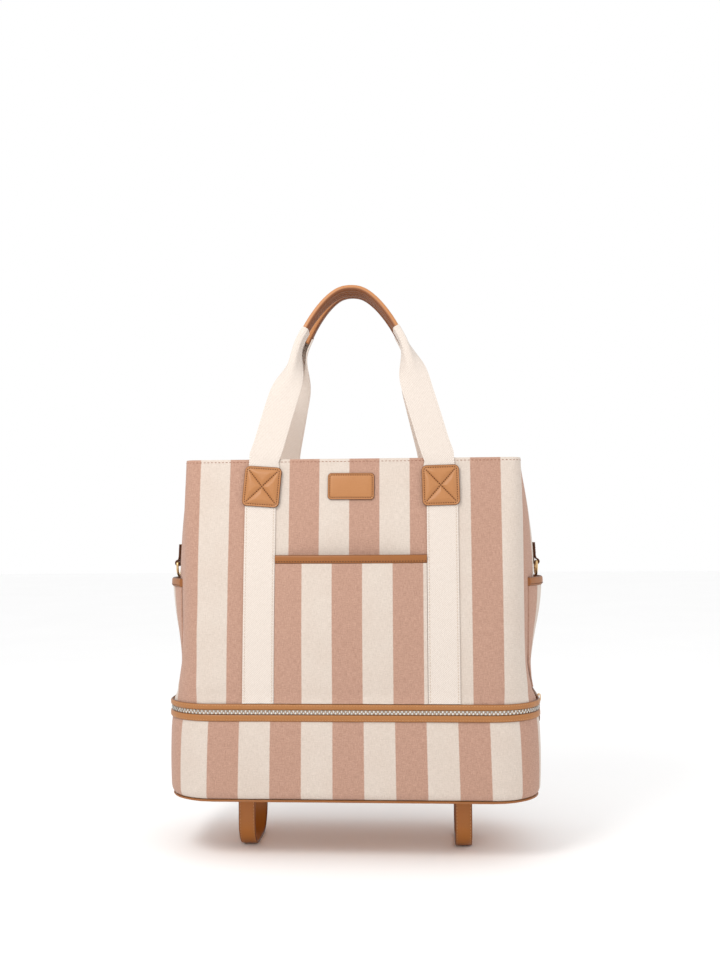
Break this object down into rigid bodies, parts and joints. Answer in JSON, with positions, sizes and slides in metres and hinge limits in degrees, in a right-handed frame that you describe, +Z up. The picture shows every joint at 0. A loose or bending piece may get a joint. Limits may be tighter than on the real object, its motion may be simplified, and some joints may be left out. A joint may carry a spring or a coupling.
{
  "type": "weekender bag",
  "caption": "Vertical-striped canvas weekender tote with leather trim, a zip-round shoe compartment below, slip pockets, webbing handles and straps under the base for a rolled mat.",
  "frame": {"origin": "on the floor under the middle of the bag, which stands on the flat bottoms of its two mat straps", "axes": "+X to the bag's right as its front is seen, -Y towards the front, +Z up"},
  "size_m": [0.4751, 0.2196, 0.7099],
  "materials": {
    "striped_canvas": "matte woven canvas in pink and cream stripes",
    "webbing": "cream twill webbing",
    "tan_leather": "fine-grained tan leather, satin",
    "lining": "plain cream lining cloth",
    "zip_tape": "beige woven tape",
    "stiffener_board": "dark stiffener board",
    "zip_metal": "bright silver metal teeth",
    "gold_metal": "polished light gold"
  },
  "bodies": {
    "shoe_compartment": {"base_panel": "tan_leather", "base_board": "stiffener_board", "base_piping": "tan_leather", "lower_wall": "striped_canvas", "lower_lining": "lining", "lower_band": "tan_leather", "lower_zip_row": "zip_metal", "fabric_hinge": "zip_tape", "mat_strap_left": "tan_leather", "mat_strap_right": "tan_leather", "mat_strap_snap_left": "gold_metal", "mat_strap_snap_right": "gold_metal"},
    "upper_bag": {"front_panel": "striped_canvas", "back_panel": "striped_canvas", "gusset_left": "striped_canvas", "gusset_right": "striped_canvas", "upper_band": "tan_leather", "upper_zip_row": "zip_metal", "divider": "lining", "main_lining": "lining", "front_webbing_left": "webbing", "front_webbing_right": "webbing", "back_webbing_left": "webbing", "back_webbing_right": "webbing", "front_patch_left": "tan_leather", "front_patch_right": "tan_leather", "back_patch_left": "tan_leather", "back_patch_right": "tan_leather", "label": "tan_leather", "front_pocket": "striped_canvas", "front_pocket_binding": "tan_leather", "back_pocket": "striped_canvas", "back_pocket_binding": "tan_leather", "side_pocket_left": "striped_canvas", "side_pocket_binding_left": "tan_leather", "side_pocket_right": "striped_canvas", "side_pocket_binding_right": "tan_leather", "ring_tab_left": "tan_leather", "ring_tab_right": "tan_leather", "zip_end_tab_left": "tan_leather", "zip_end_tab_right": "tan_leather"},
    "front_handle": {"front_handle_leg_left": "webbing", "front_handle_leg_right": "webbing", "front_grip": "tan_leather"},
    "back_handle": {"back_handle_leg_left": "webbing", "back_handle_leg_right": "webbing", "back_grip": "tan_leather"},
    "ring_left": {"ring_left": "gold_metal"},
    "ring_right": {"ring_right": "gold_metal"},
    "top_flap_front": {"top_facing_front": "striped_canvas", "top_zip_row_front": "zip_metal"},
    "top_flap_back": {"top_facing_back": "striped_canvas", "top_zip_row_back": "zip_metal"},
    "top_slider": {"top_slider": "gold_metal"},
    "top_pull": {"top_link": "gold_metal", "top_pull": "tan_leather"},
    "low_slider": {"low_slider": "gold_metal"},
    "low_pull": {"low_link": "gold_metal", "low_pull": "tan_leather"}
  },
  "joints": [
    {"name": "bag_open", "type": "hinge", "parent": "shoe_compartment", "child": "upper_bag", "pos_m": [0, 0.1101, 0.178], "axis": [-1, 0, 0], "range_deg": [0, 65]},
    {"name": "front_handle_swing", "type": "hinge", "parent": "upper_bag", "child": "front_handle", "pos_m": [0, -0.0765, 0.4765], "axis": [1, 0, 0], "range_deg": [0, 175]},
    {"name": "back_handle_swing", "type": "hinge", "parent": "upper_bag", "child": "back_handle", "pos_m": [0, 0.0765, 0.4765], "axis": [-1, 0, 0], "range_deg": [0, 175]},
    {"name": "top_flap_front_lift", "type": "hinge", "parent": "upper_bag", "child": "top_flap_front", "pos_m": [0, -0.0672, 0.47], "axis": [1, 0, 0], "range_deg": [0, 75]},
    {"name": "top_flap_back_lift", "type": "hinge", "parent": "upper_bag", "child": "top_flap_back", "pos_m": [0, 0.0672, 0.47], "axis": [-1, 0, 0], "range_deg": [0, 75]},
    {"name": "top_slider_run", "type": "slide", "parent": "top_flap_front", "child": "top_slider", "axis": [-1, 0, 0], "range_m": [0, 0.32]},
    {"name": "top_pull_flip", "type": "hinge", "parent": "top_slider", "child": "top_pull", "pos_m": [0.16, 0, 0.477], "axis": [-1, 0, 0], "range_deg": [0, 150]},
    {"name": "low_slider_run", "type": "slide", "parent": "shoe_compartment", "child": "low_slider", "axis": [0, -1, 0], "range_m": [0, 0.068]},
    {"name": "low_pull_swing", "type": "hinge", "parent": "low_slider", "child": "low_pull", "pos_m": [0.235, 0.034, 0.178], "axis": [0, -1, 0], "range_deg": [0, 140]},
    {"name": "ring_left_swing", "type": "hinge", "parent": "upper_bag", "child": "ring_left", "pos_m": [-0.23, 0, 0.3535], "axis": [0, 1, 0], "range_deg": [0, 120]},
    {"name": "ring_right_swing", "type": "hinge", "parent": "upper_bag", "child": "ring_right", "pos_m": [0.23, 0, 0.3535], "axis": [0, -1, 0], "range_deg": [0, 120]}
  ],
  "couplings": [
    {"joint": "top_flap_back_lift", "follows": "top_flap_front_lift", "ratio": 1}
  ]
}
